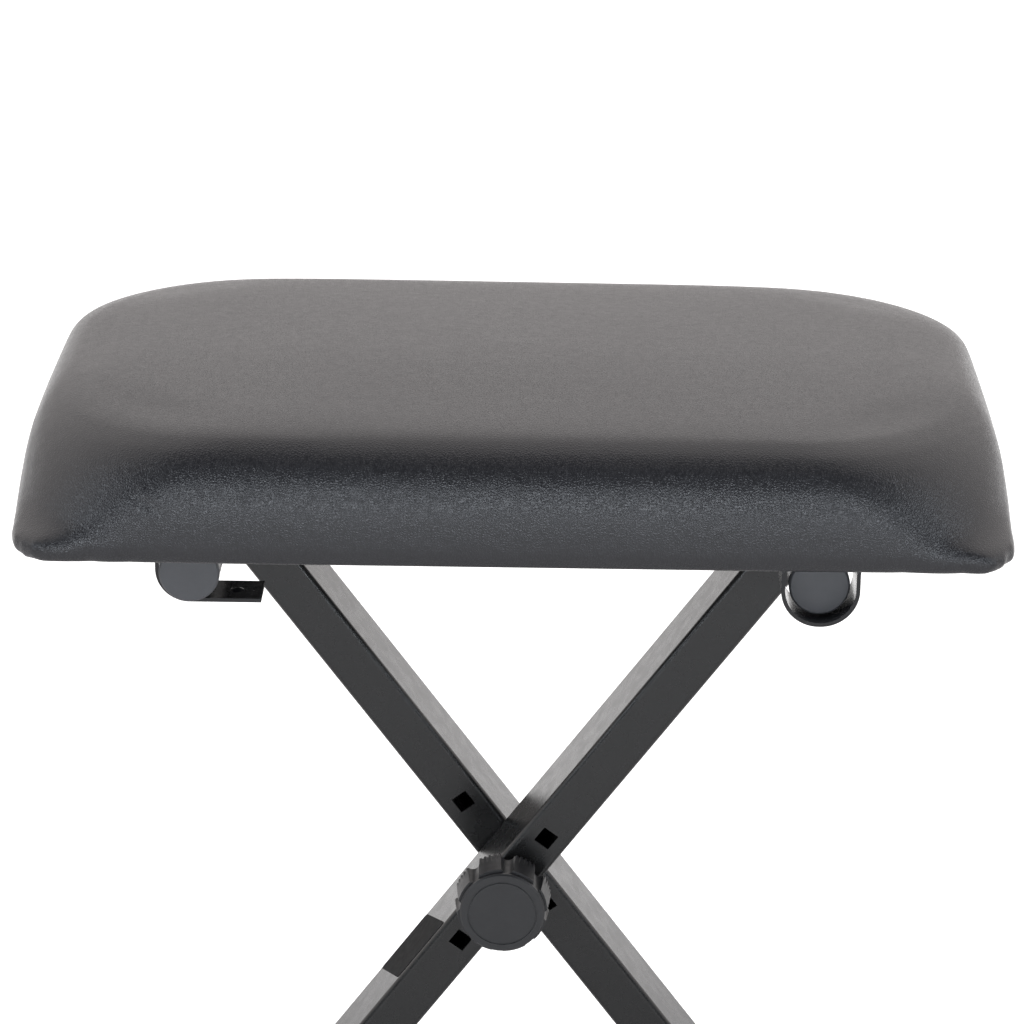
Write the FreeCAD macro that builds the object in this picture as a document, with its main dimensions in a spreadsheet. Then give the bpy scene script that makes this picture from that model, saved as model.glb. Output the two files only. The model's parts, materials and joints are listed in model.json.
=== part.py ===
import FreeCAD, Part
import Sketcher
import math
import os
import re

# Folding bench: a padded seat on one X of two rectangular legs.
# The origin is on the floor, below the crossing bolt. X is the seat's length, -Y its front.

doc = FreeCAD.newDocument("folding_bench")
Vector = FreeCAD.Vector

SIZES = {
    # Legs
    "leg_width": 25.0,
    "leg_depth": 45.0,
    "leg_wall": 1.5,
    "leg_corner": 3.0,
    "leg_angle": 53.3,
    "leg_gap": 0.8,
    "upper_reach": 261.8,
    "lower_reach": 252.0,
    "weld_gap": 0.1,
    # Square holes for the crossing bolt, one of three heights
    "hole_side": 9.3,
    "hole_pitch": 38.0,
    "hole_count": 3,
    # Round cross tubes under the seat
    "top_tube_diameter": 30.0,
    "top_tube_wall": 1.5,
    "right_tube_inset": 24.0,
    "left_tube_inset": 29.0,
    "tube_cap_rim": 0.2,
    "tube_cap_face": 3.0,
    "tube_cap_plug": 18.0,
    "tube_cap_wall": 2.0,
    "cap_fit": 0.05,
    # Round cross tubes on the floor
    "foot_tube_diameter": 30.0,
    "foot_tube_wall": 1.5,
    "foot_tube_length": 282.0,
    "foot_cap_wall": 3.0,
    "foot_cap_end": 4.0,
    "foot_cap_length": 32.0,
    "foot_cap_flat": 1.0,
    # Crossing bolt with its washers
    "bolt_diameter": 8.0,
    "bolt_neck": 8.6,
    "bolt_neck_length": 4.5,
    "bolt_head_diameter": 20.0,
    "bolt_head_height": 4.5,
    "bolt_point": 1.0,
    "thread_length": 14.0,
    "spacer_diameter": 23.0,
    "spacer_bore": 9.0,
    "washer_diameter": 26.0,
    "washer_thickness": 1.6,
    "washer_bore": 8.4,
    # Knob
    "knob_back_diameter": 51.4,
    "knob_front_diameter": 47.8,
    "knob_hub_diameter": 30.0,
    "knob_hub_length": 7.7,
    "knob_skirt_length": 16.2,
    "knob_groove_width": 0.8,
    "knob_groove_depth": 1.4,
    "knob_cap_diameter": 45.0,
    "knob_cap_thickness": 2.4,
    "knob_cap_chamfer": 0.8,
    "knob_cap_spigot": 2.0,
    "knob_ring_diameter": 37.0,
    "knob_ring_width": 1.2,
    "knob_ring_depth": 0.5,
    "flute_count": 8,
    "flute_diameter": 7.4,
    "flute_lean": 6.0,
    "rib_groove": 1.5,
    "rib_pitch": 5.8,
    "rib_grooves": 6,
    "insert_diameter": 14.0,
    "insert_length": 13.0,
    "thread_fit": 0.05,
    "spigot_fit": 0.1,
    # Seat
    "seat_length": 495.0,
    "seat_depth": 318.0,
    "seat_height": 68.5,
    "seat_belly": 9.5,
    "seat_tuck": 2.5,
    "seat_end_shoulder": 26.0,
    "seat_front_shoulder": 52.0,
    "seat_crown": 3.0,
    "seat_corner": 30.0,
    "seat_top_corner": 94.0,
    "corner_growth": 0.45,
    "cover_thickness": 1.0,
    "cover_wrap": 34.0,
    "soft_gap": 0.3,
    "board_thickness": 12.0,
    "board_inset": 7.0,
    "board_corner": 36.0,
    "dust_cover_thickness": 0.6,
    "dust_cover_inset": 3.0,
    "seat_gap": 0.3,
    # Straps that join the seat to the round tubes
    "strap_thickness": 2.0,
    "strap_width": 25.0,
    "strap_bend": 2.0,
    "hinge_side_gap": 2.5,
    "hinge_slack": 1.2,
    "hinge_foot": 22.0,
    "hinge_inset": 24.5,
    "hook_side_gap": 0.8,
    "hook_slack": 1.4,
    "hook_reach": 20.0,
    "hook_foot": 40.0,
    "hook_inset": 47.5,
    "bump_place": 22.0,
    "bump_diameter": 7.0,
    "bump_height": 1.0,
    # Strap screws with their tee nuts
    "screw_diameter": 5.0,
    "screw_length": 13.0,
    "screw_hole": 5.6,
    "screw_head_diameter": 9.5,
    "screw_head_height": 3.0,
    "screw_slot": 1.2,
    "nut_barrel": 6.6,
    "nut_length": 9.0,
    "nut_flange_diameter": 16.0,
    "nut_flange": 1.2,
    "nut_fit": 0.1,
    # Staples round the seat's underside
    "staple_crown": 11.0,
    "staple_leg": 6.0,
    "staple_wire": 1.0,
    "staple_inset": 6.0,
    "staples_long": 11,
    "staples_short": 7,
}

# Places worked out from the sizes
BOLT_Z = ("(lower_reach * sin(leg_angle * 1 deg)"
          " + foot_tube_diameter / 2 + foot_cap_wall - foot_cap_flat)")
TOP_X = "(upper_reach * cos(leg_angle * 1 deg))"
TOP_Z = "(" + BOLT_Z + " + upper_reach * sin(leg_angle * 1 deg))"
FOOT_X = "(lower_reach * cos(leg_angle * 1 deg))"
FOOT_Z = "(foot_tube_diameter / 2 + foot_cap_wall - foot_cap_flat)"
LEG_Y = "((leg_depth + leg_gap) / 2)"
DUST_Z = "(" + TOP_Z + " + top_tube_diameter / 2 + seat_gap)"
WRAP_Z = "(" + DUST_Z + " + dust_cover_thickness)"
BOARD_Z = "(" + WRAP_Z + " + cover_thickness)"
BOARD_X = "(seat_length / 2 - board_inset)"
BOARD_Y = "(seat_depth / 2 - board_inset)"
HINGE_Y = "(" + BOARD_Y + " - hinge_inset)"
HOOK_Y = "(" + BOARD_Y + " - hook_inset)"
RIGHT_TUBE = "(2 * (" + BOARD_Y + " - right_tube_inset))"
LEFT_TUBE = "(2 * (" + BOARD_Y + " - left_tube_inset))"
LEG_FACE = "(leg_gap / 2 + leg_depth)"

sheet = doc.addObject("Spreadsheet::Sheet", "sizes")
for row, (alias, value) in enumerate(SIZES.items(), start=1):
    sheet.set("A%d" % row, alias)
    sheet.set("B%d" % row, repr(value))
    sheet.setAlias("B%d" % row, alias)
doc.recompute()

reckoner = doc.addObject("App::FeaturePython", "reckoner")
reckoner.addProperty("App::PropertyFloat", "Result")
parts = []


def size(alias):
    # One driving size, as a plain number.
    return float(sheet.get(alias))


def formula(text):
    # A formula in size names, with each name led back to the sheet.
    def link(match):
        return "sizes." + match.group(0) if match.group(0) in SIZES else match.group(0)
    return re.sub(r"[a-z_]+", link, text)


def bind(thing, target, text):
    thing.setExpression(target, formula(text))


def place(thing, x="0", y="0", z="0", turn=None):
    # Puts a piece at x, y, z, turned about the front-to-back axis.
    if turn is not None:
        thing.Placement = FreeCAD.Placement(Vector(), FreeCAD.Rotation(Vector(0, 1, 0), 1))
        bind(thing, "Placement.Rotation.Angle", turn)
    bind(thing, "Placement.Base.x", x)
    bind(thing, "Placement.Base.y", y)
    bind(thing, "Placement.Base.z", z)


def new_body(label, is_part=True):
    body = doc.addObject("PartDesign::Body", label)
    body.Label = label
    if is_part:
        parts.append(body)
    return body


def origin_feature(body, role):
    return [item for item in body.Origin.OriginFeatures if item.Role == role][0]


def new_sketch(body, role, lift="0"):
    # A sketch on one of the body's planes, lifted along the plane's normal.
    sketch = body.newObject("Sketcher::SketchObject", body.Label + "_sketch")
    sketch.AttachmentSupport = [(origin_feature(body, role), "")]
    sketch.MapMode = "FlatFace"
    bind(sketch, "AttachmentOffset.Base.z", lift)
    return sketch


def tie(sketch, kind, geometry, point, text):
    # Ties a point of the sketch to its origin along one axis.
    index = sketch.addConstraint(Sketcher.Constraint(kind, -1, 1, geometry, point, 1.0))
    bind(sketch, "Constraints[%d]" % index, text)


def outline(body, role, corners, lift="0"):
    # A closed outline of straight edges, each corner tied by its two formulas.
    sketch = new_sketch(body, role, lift)
    sizes_now = [(number(across), number(along)) for across, along in corners]
    count = len(corners)
    for index in range(count):
        start = Vector(*sizes_now[index], 0)
        end = Vector(*sizes_now[(index + 1) % count], 0)
        sketch.addGeometry(Part.LineSegment(start, end), False)
    for index in range(count):
        sketch.addConstraint(Sketcher.Constraint("Coincident", index, 2, (index + 1) % count, 1))
    for index, (across, along) in enumerate(corners):
        tie(sketch, "DistanceX", index, 1, across)
        tie(sketch, "DistanceY", index, 1, along)
    return sketch


def number(text):
    # The present value of a formula, read back from the sheet's own reckoning.
    reckoner.setExpression("Result", formula(text))
    reckoner.recompute()
    return float(reckoner.Result)


def rings(body, role, circles, lift="0"):
    # Circles, each as the formulas of its centre and its diameter.
    sketch = new_sketch(body, role, lift)
    for index, (across, along, diameter) in enumerate(circles):
        centre = Vector(number(across), number(along), 0)
        sketch.addGeometry(Part.Circle(centre, Vector(0, 0, 1), number(diameter) / 2), False)
        tie(sketch, "DistanceX", index, 3, across)
        tie(sketch, "DistanceY", index, 3, along)
        fixed = sketch.addConstraint(Sketcher.Constraint("Diameter", index, number(diameter)))
        bind(sketch, "Constraints[%d]" % fixed, diameter)
    return sketch


def pad(body, sketch, length, both_ways=True):
    feature = body.newObject("PartDesign::Pad", body.Label + "_pad")
    feature.Profile = sketch
    feature.SideType = "Symmetric" if both_ways else "One side"
    bind(feature, "Length", length)
    doc.recompute()
    return feature


def pocket(body, sketch, depth=None, flipped=False):
    # Cuts right through both ways, or to a depth from the sketch.
    before = body.Shape.Volume
    feature = body.newObject("PartDesign::Pocket", body.Label + "_pocket")
    feature.Profile = sketch
    if depth is None:
        feature.Type = "ThroughAll"
        feature.SideType = "Symmetric"
    else:
        bind(feature, "Length", depth)
        feature.Reversed = flipped
    doc.recompute()
    if body.Shape.Volume >= before:
        raise RuntimeError("a cut in " + body.Label + " takes nothing away")
    return feature


def turned(body, sketch, axis="H_Axis"):
    # A full turn of the outline about one of the sketch's axes.
    feature = body.newObject("PartDesign::Revolution", body.Label + "_turned")
    feature.Profile = sketch
    feature.ReferenceAxis = (sketch, [axis])
    feature.Angle = 360
    doc.recompute()
    return feature


def round_corners(body, sketch, corners, radius, tolerance=0.001):
    # Rounds the straight edges that run from the named corners of an outline.
    tip = body.Tip
    normal = sketch.Placement.Rotation.multVec(Vector(0, 0, 1))
    spots = [sketch.Placement.multVec(sketch.Geometry[corner].StartPoint) for corner in corners]
    names = []
    for index, edge in enumerate(tip.Shape.Edges, start=1):
        if not isinstance(edge.Curve, Part.Line):
            continue
        if edge.Curve.Direction.cross(normal).Length > tolerance:
            continue
        start = edge.Vertexes[0].Point
        for spot in spots:
            if (spot - start).cross(normal).Length < tolerance:
                names.append("Edge%d" % index)
    if len(names) < len(corners):
        raise RuntimeError("a corner to round is missing in " + body.Label)
    feature = body.newObject("PartDesign::Fillet", body.Label + "_round")
    feature.Base = (tip, names)
    bind(feature, "Radius", radius)
    doc.recompute()
    return feature


def centred_outline(width, depth):
    # The four corners of a rectangle about the origin, anticlockwise from low left.
    low_x, high_x = "-(" + width + ") / 2", "(" + width + ") / 2"
    low_y, high_y = "-(" + depth + ") / 2", "(" + depth + ") / 2"
    return [(low_x, low_y), (high_x, low_y), (high_x, high_y), (low_x, high_y)]


def group(label, members):
    # Like pieces that share one node.
    whole = doc.addObject("Part::Compound", label)
    whole.Label = label
    whole.Links = members
    parts.append(whole)
    return whole


def mirrored(piece, label):
    # The same piece at the back, across the plane through the bolt's middle.
    twin = doc.addObject("Part::Mirroring", label)
    twin.Source = piece
    twin.Normal = Vector(0, 1, 0)
    return twin


def copies(label, piece, spots):
    # One piece repeated at a list of places, given as formulas.
    links = []
    for index, (x, y, z, angle) in enumerate(spots):
        link = doc.addObject("App::Link", "%s_%d" % (label, index + 1))
        link.LinkedObject = piece
        link.Placement = FreeCAD.Placement(Vector(), FreeCAD.Rotation(Vector(0, 0, 1), angle))
        bind(link, "Placement.Base.x", x)
        bind(link, "Placement.Base.y", y)
        bind(link, "Placement.Base.z", z)
        links.append(link)
    return group(label, links)


def leg(label, side):
    # Rectangular tube, coped at both ends to the round tubes it is welded to.
    body = new_body(label)
    outer = outline(body, "XY_Plane", centred_outline("leg_width", "leg_depth"), "-lower_reach")
    pad(body, outer, "upper_reach + lower_reach", both_ways=False)
    round_corners(body, outer, range(4), "leg_corner")
    inner = outline(body, "XY_Plane", centred_outline("leg_width - 2 * leg_wall", "leg_depth - 2 * leg_wall"))
    pocket(body, inner)
    round_corners(body, inner, range(4), "leg_corner - leg_wall")
    for reach, diameter in (("upper_reach", "top_tube_diameter"), ("-lower_reach", "foot_tube_diameter")):
        cope = rings(body, "XZ_Plane", [("0", reach, diameter + " + 2 * weld_gap")])
        pocket(body, cope)
    half = "hole_side / 2"
    low = "-hole_pitch * (hole_count - 1) / 2"
    square = [("-" + half, low + " - " + half), (half, low + " - " + half),
              (half, low + " + " + half), ("-" + half, low + " + " + half)]
    hole = pocket(body, outline(body, "XZ_Plane", square))
    row = body.newObject("PartDesign::LinearPattern", label + "_holes")
    row.Originals = [hole]
    row.Direction = (origin_feature(body, "Z_Axis"), [""])
    bind(row, "Length", "hole_pitch * (hole_count - 1)")
    bind(row, "Occurrences", "hole_count")
    body.Tip = row
    place(body, y=LEG_Y + " * %d" % -side, z=BOLT_Z, turn="(90 - leg_angle) * %d" % side)
    return body


def round_tube(label, diameter, wall, length, x, z):
    body = new_body(label)
    circles = [("0", "0", diameter), ("0", "0", diameter + " - 2 * " + wall)]
    pad(body, rings(body, "XZ_Plane", circles), length)
    place(body, x=x, z=z)
    return body


def tube_caps(label, length, x, z):
    # Push-in cap at each end of a round tube under the seat: a plate and a hollow plug.
    cap = new_body(label + "_front", is_part=False)
    face = "-(" + length + " / 2 + tube_cap_face)"
    end = "-" + length + " / 2"
    plug = "(top_tube_diameter / 2 - top_tube_wall - cap_fit)"
    rim = "(top_tube_diameter / 2 + tube_cap_rim)"
    edge = "tube_cap_face / 3"
    corners = [(face, "0"), (face, rim + " - " + edge), (face + " + " + edge, rim), (end, rim), (end, plug),
               (end + " + tube_cap_plug", plug), (end + " + tube_cap_plug", plug + " - tube_cap_wall"),
               (end, plug + " - tube_cap_wall"), (end, "0")]
    turned(cap, outline(cap, "YZ_Plane", corners))
    place(group(label, [cap, mirrored(cap, label + "_back")]), x=x, z=z)


def foot_caps(label, x):
    # Rubber cup over each end of a floor tube, with a flat sole.
    cap = new_body(label + "_front", is_part=False)
    face = "-(foot_tube_length / 2 + foot_cap_end)"
    end = "-foot_tube_length / 2"
    lip = "-(foot_tube_length / 2 + foot_cap_end - foot_cap_length)"
    bore = "(foot_tube_diameter / 2 + cap_fit)"
    rim = "(foot_tube_diameter / 2 + foot_cap_wall)"
    edge = "foot_cap_end / 2"
    corners = [(face, "0"), (face, rim + " - " + edge), (face + " + " + edge, rim), (lip, rim), (lip, bore),
               (end, bore), (end, "0")]
    turned(cap, outline(cap, "YZ_Plane", corners))
    sole = "-(" + rim + " - foot_cap_flat)"
    low = "-2 * " + rim
    slab = [("-" + rim, low), (rim, low), (rim, sole), ("-" + rim, sole)]
    pocket(cap, outline(cap, "XZ_Plane", slab))
    place(group(label, [cap, mirrored(cap, label + "_back")]), x=x, z=FOOT_Z)


def frame(name, side, tube, tube_length):
    # One leg with its cross tubes. The side is 1 where the leg rises to the right.
    top_x = TOP_X + " * %d" % side
    foot_x = FOOT_X + " * %d" % -side
    leg(name + "_leg_tube", side)
    round_tube(tube + "_top_tube", "top_tube_diameter", "top_tube_wall", tube_length, top_x, TOP_Z)
    tube_caps(tube + "_tube_caps", tube_length, top_x, TOP_Z)
    round_tube(name + "_foot_tube", "foot_tube_diameter", "foot_tube_wall", "foot_tube_length",
               foot_x, FOOT_Z)
    foot_caps(name + "_foot_caps", foot_x)


def pivot_bolt():
    # Carriage bolt from behind: domed head, square neck in the rear leg, round shank.
    body = new_body("pivot_bolt")
    tail = "(" + LEG_FACE + " + washer_thickness + thread_length)"
    shank = "bolt_diameter / 2"
    head = "bolt_head_diameter / 2"
    corners = [("-" + tail, "0"), ("-" + tail, shank + " - bolt_point"),
               ("-" + tail + " + bolt_point", shank),
               (LEG_FACE, shank), (LEG_FACE, head), (LEG_FACE + " + bolt_head_height / 3", head),
               (LEG_FACE + " + bolt_head_height * 0.8", head + " * 0.55"),
               (LEG_FACE + " + bolt_head_height", head + " * 0.2"), (LEG_FACE + " + bolt_head_height", "0")]
    turned(body, outline(body, "YZ_Plane", corners))
    neck = outline(body, "XZ_Plane", centred_outline("bolt_neck", "bolt_neck"), "-" + LEG_FACE)
    pad(body, neck, "bolt_neck_length", both_ways=False)
    place(body, z=BOLT_Z, turn="leg_angle - 90")


def washer(label, outer, bore, thickness, back):
    # Flat ring on the bolt. Its back face stands this far in front of the legs' meeting plane.
    body = new_body(label)
    sketch = rings(body, "XZ_Plane", [("0", "0", outer), ("0", "0", bore)], back)
    pad(body, sketch, thickness, both_ways=False)
    place(body, z=BOLT_Z)


def polar_spot(radius, angle):
    # A point at a radius and an angle clockwise from straight up, seen from the front.
    return (radius + " * sin((" + angle + ") * 1 deg)", radius + " * cos((" + angle + ") * 1 deg)")


def knob():
    # Hub, flared skirt with half-round flutes and fine ribs, and a neck for the cap.
    back = "(" + LEG_FACE + " + washer_thickness)"
    skirt = "(" + back + " + knob_hub_length)"
    front = "(" + skirt + " + knob_skirt_length)"
    neck = "(" + front + " + knob_groove_width)"
    bore = "insert_diameter / 2"
    spigot = "(bolt_diameter / 2 + knob_cap_spigot)"
    body = new_body("knob_body")
    corners = [("-" + back, bore), ("-" + back, "knob_hub_diameter / 2"),
               ("-" + skirt, "knob_hub_diameter / 2"), ("-" + skirt, "knob_back_diameter / 2"),
               ("-" + front, "knob_front_diameter / 2"),
               ("-" + front, "knob_cap_diameter / 2 - knob_groove_depth"),
               ("-" + neck, "knob_cap_diameter / 2 - knob_groove_depth"),
               ("-" + neck, spigot + " + spigot_fit"),
               ("-(" + back + " + insert_length)", spigot + " + spigot_fit"),
               ("-(" + back + " + insert_length)", bore)]
    turned(body, outline(body, "YZ_Plane", corners))
    flute_spot = polar_spot("knob_back_diameter / 2", "flute_lean") + ("flute_diameter",)
    flute = rings(body, "XZ_Plane", [flute_spot], skirt)
    flute_cut = pocket(body, flute, "knob_skirt_length", flipped=True)
    first = "flute_lean + 180 / flute_count - rib_pitch * (rib_grooves - 1) / 2"
    spots = []
    for index in range(int(size("rib_grooves"))):
        angle = first + " + rib_pitch * %d" % index
        spots.append(polar_spot("(knob_back_diameter / 2)", angle) + ("rib_groove",))
    ribs = rings(body, "XZ_Plane", spots, skirt)
    rib_cut = pocket(body, ribs, "knob_skirt_length", flipped=True)
    wheel = body.newObject("PartDesign::PolarPattern", "knob_flutes")
    wheel.Originals = [flute_cut, rib_cut]
    wheel.Axis = (origin_feature(body, "Y_Axis"), [""])
    wheel.Angle = 360
    bind(wheel, "Occurrences", "flute_count")
    body.Tip = wheel
    place(body, z=BOLT_Z)
    washer("knob_insert", "insert_diameter", "bolt_diameter + 2 * thread_fit", "insert_length", back)
    knob_cap(neck, spigot)


def knob_cap(neck, spigot):
    # Front disc with a chamfered rim and a shallow ring, held by a hollow spigot over the bolt's end.
    face = "(" + neck + " + knob_cap_thickness)"
    rim = "knob_cap_diameter / 2"
    ring = "knob_ring_diameter / 2"
    body = new_body("knob_cap")
    corners = [("-" + face, "0"), ("-" + face, ring + " - knob_ring_width"),
               ("-" + face + " + knob_ring_depth", ring + " - knob_ring_width"),
               ("-" + face + " + knob_ring_depth", ring), ("-" + face, ring),
               ("-" + face, rim + " - knob_cap_chamfer"), ("-" + face + " + knob_cap_chamfer", rim),
               ("-" + neck, rim), ("-" + neck, spigot),
               ("-" + neck + " + knob_skirt_length / 3", spigot),
               ("-" + neck + " + knob_skirt_length / 3", spigot + " - knob_cap_spigot + 1"),
               ("-" + neck, spigot + " - knob_cap_spigot + 1"), ("-" + neck, "0")]
    turned(body, outline(body, "YZ_Plane", corners))
    place(body, z=BOLT_Z)


def screw_spots():
    # Centres of the strap screws: two by each hinge strap and two in each hook strap's foot.
    wall = "(top_tube_diameter / 2 + hinge_side_gap + strap_thickness)"
    reach = "(" + wall + " + hinge_foot / 2)"
    hook_wall = "(top_tube_diameter / 2 + hook_side_gap + strap_thickness)"
    spots = []
    for side in (-1, 1):
        for way in (-1, 1):
            spots.append((TOP_X + " + " + reach + " * %d" % way, HINGE_Y + " * %d" % side))
        for share in (0.25, 0.75):
            across = "-(" + TOP_X + " + " + hook_wall + " + hook_foot * %s)" % share
            spots.append((across, HOOK_Y + " * %d" % side))
    return spots


def strap_holes(body, x, y, sign):
    # Screw holes of one strap: those of the screw places that lie within its foot.
    own = [spot for spot in screw_spots() if spot[1] == y and (number(spot[0]) > 0) == (sign > 0)]
    circles = [("(" + across + ") - (" + x + ")", "0", "screw_hole") for across, along in own]
    pocket(body, rings(body, "XY_Plane", circles))


def hinge_strap(label, side):
    # Closed U strap that holds the right tube for good.
    body = new_body(label)
    inner = "(top_tube_diameter / 2 + hinge_side_gap)"
    outer = "(" + inner + " + strap_thickness)"
    foot = "(" + outer + " + hinge_foot)"
    floor = "(top_tube_diameter + seat_gap + hinge_slack)"
    corners = [("-" + foot, "0"), ("-" + foot, "-strap_thickness"), ("-" + outer, "-strap_thickness"),
               ("-" + outer, "-" + floor + " - strap_thickness"), (outer, "-" + floor + " - strap_thickness"),
               (outer, "-strap_thickness"), (foot, "-strap_thickness"), (foot, "0"), (inner, "0"),
               (inner, "-" + floor), ("-" + inner, "-" + floor), ("-" + inner, "0")]
    profile = outline(body, "XZ_Plane", corners)
    pad(body, profile, "strap_width")
    round_corners(body, profile, (9, 10), inner + " - soft_gap")
    round_corners(body, profile, (3, 4), inner + " - soft_gap + strap_thickness")
    round_corners(body, profile, (2, 5), "strap_bend")
    round_corners(body, profile, (8, 11), "strap_bend + strap_thickness")
    strap_holes(body, TOP_X, HINGE_Y + " * %d" % side, 1)
    place(body, x=TOP_X, y=HINGE_Y + " * %d" % side, z=DUST_Z)


def hook_strap(label, side):
    # J strap: its wall stands outside the left tube, and its jaw reaches under it to the middle.
    body = new_body(label)
    wall = "(top_tube_diameter / 2 + hook_side_gap)"
    outer = "(" + wall + " + strap_thickness)"
    foot = "(" + outer + " + hook_foot)"
    jaw = "(top_tube_diameter / 2 + hook_reach)"
    floor = "(top_tube_diameter + seat_gap + hook_slack)"
    corners = [("-" + foot, "0"), ("-" + foot, "-strap_thickness"), ("-" + outer, "-strap_thickness"),
               ("-" + outer, "-" + floor + " - strap_thickness"), (jaw, "-" + floor + " - strap_thickness"),
               (jaw, "-" + floor), ("-" + wall, "-" + floor), ("-" + wall, "0")]
    profile = outline(body, "XZ_Plane", corners)
    pad(body, profile, "strap_width")
    round_corners(body, profile, (6,), "top_tube_diameter / 2")
    round_corners(body, profile, (3,), "top_tube_diameter / 2 + strap_thickness")
    round_corners(body, profile, (2,), "strap_bend")
    round_corners(body, profile, (7,), "strap_bend + strap_thickness")
    bump_sphere(body, floor)
    x = "-" + TOP_X
    strap_holes(body, x, HOOK_Y + " * %d" % side, -1)
    place(body, x=x, y=HOOK_Y + " * %d" % side, z=DUST_Z)


def bump_sphere(body, floor):
    # Low dome pressed up in the jaw, just past the tube, which keeps it from creeping out.
    radius = "((bump_diameter ^ 2 / 4 + bump_height ^ 2) / (2 * bump_height))"
    dome = body.newObject("PartDesign::AdditiveSphere", body.Label + "_bump")
    dome.AttachmentSupport = [(origin_feature(body, "XY_Plane"), "")]
    dome.MapMode = "FlatFace"
    bind(dome, "Radius", radius)
    bind(dome, "Angle1", "asin((" + radius + " - bump_height) / " + radius + ")")
    bind(dome, "AttachmentOffset.Base.x", "bump_place")
    bind(dome, "AttachmentOffset.Base.z", "-" + floor + " + bump_height - " + radius)
    doc.recompute()


def screw():
    # Pan-head machine screw, its head below the strap.
    body = new_body("one_screw", is_part=False)
    shank = "screw_diameter / 2"
    head = "screw_head_diameter / 2"
    tip = "(screw_length)"
    corners = [("0", tip), ("0", "-screw_head_height"), (head + " * 0.6", "-screw_head_height"),
               (head, "-screw_head_height * 0.5"), (head, "0"), (shank, "0"), (shank, tip)]
    turned(body, outline(body, "XZ_Plane", corners), "V_Axis")
    slot = [("screw_slot / 2", "screw_head_diameter * 0.3"), ("screw_slot / 2", "-screw_head_diameter * 0.3")]
    bar = [("-screw_slot / 2", "-screw_head_diameter * 0.3"),
           ("-screw_slot / 2", "screw_head_diameter * 0.3")]
    first = outline(body, "XY_Plane", slot + bar, "-screw_head_height")
    pocket(body, first, "screw_head_height * 0.5", flipped=True)
    across = [(along, side) for side, along in slot + bar]
    second = outline(body, "XY_Plane", across, "-screw_head_height")
    pocket(body, second, "screw_head_height * 0.5", flipped=True)
    return body


def tee_nut():
    # Tee nut sunk in the board from above: a flange and a threaded barrel.
    body = new_body("one_tee_nut", is_part=False)
    bore = "(screw_diameter / 2 + thread_fit)"
    corners = [(bore, "0"), ("nut_flange_diameter / 2", "0"), ("nut_flange_diameter / 2", "-nut_flange"),
               ("nut_barrel / 2", "-nut_flange"), ("nut_barrel / 2", "-nut_length"), (bore, "-nut_length")]
    turned(body, outline(body, "XZ_Plane", corners), "V_Axis")
    return body


def seat_board():
    # Plywood board with through holes and sunk seats for the tee nuts.
    body = new_body("seat_board")
    plan = outline(body, "XY_Plane", centred_outline("2 * " + BOARD_X, "2 * " + BOARD_Y))
    pad(body, plan, "board_thickness", both_ways=False)
    round_corners(body, plan, range(4), "board_corner")
    holes = [(x, y, "nut_barrel + 2 * nut_fit") for x, y in screw_spots()]
    pocket(body, rings(body, "XY_Plane", holes))
    seats = [(x, y, "nut_flange_diameter + 2 * nut_fit") for x, y in screw_spots()]
    pocket(body, rings(body, "XY_Plane", seats, "board_thickness"), "nut_flange + nut_fit")
    place(body, z=BOARD_Z)


def dust_cover():
    # Thin fabric sheet over the whole underside, under the straps' feet.
    body = new_body("dust_cover")
    width = "2 * (" + BOARD_X + " - dust_cover_inset)"
    depth = "2 * (" + BOARD_Y + " - dust_cover_inset)"
    plan = outline(body, "XY_Plane", centred_outline(width, depth))
    pad(body, plan, "dust_cover_thickness", both_ways=False)
    round_corners(body, plan, range(4), "board_corner - dust_cover_inset")
    holes = [(x, y, "screw_hole") for x, y in screw_spots()]
    pocket(body, rings(body, "XY_Plane", holes))
    place(body, z=DUST_Z)


def rounded_wire(half_x, half_y, corner, height):
    # Level outline of four lines and four quarter arcs.
    points = []
    arcs = []
    for side_x, side_y, start in ((1, 1, 0), (-1, 1, 90), (-1, -1, 180), (1, -1, 270)):
        centre = Vector(side_x * (half_x - corner), side_y * (half_y - corner), height)
        turns = [math.radians(start + step) for step in (0, 45, 90)]
        spots = [centre + Vector(math.cos(turn), math.sin(turn), 0) * corner for turn in turns]
        arcs.append(Part.Arc(*spots).toShape())
        points.append((spots[0], spots[2]))
    edges = []
    for index, arc in enumerate(arcs):
        edges.append(arc)
        edges.append(Part.LineSegment(points[index][1], points[(index + 1) % 4][0]).toShape())
    return Part.Wire(edges)


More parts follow.
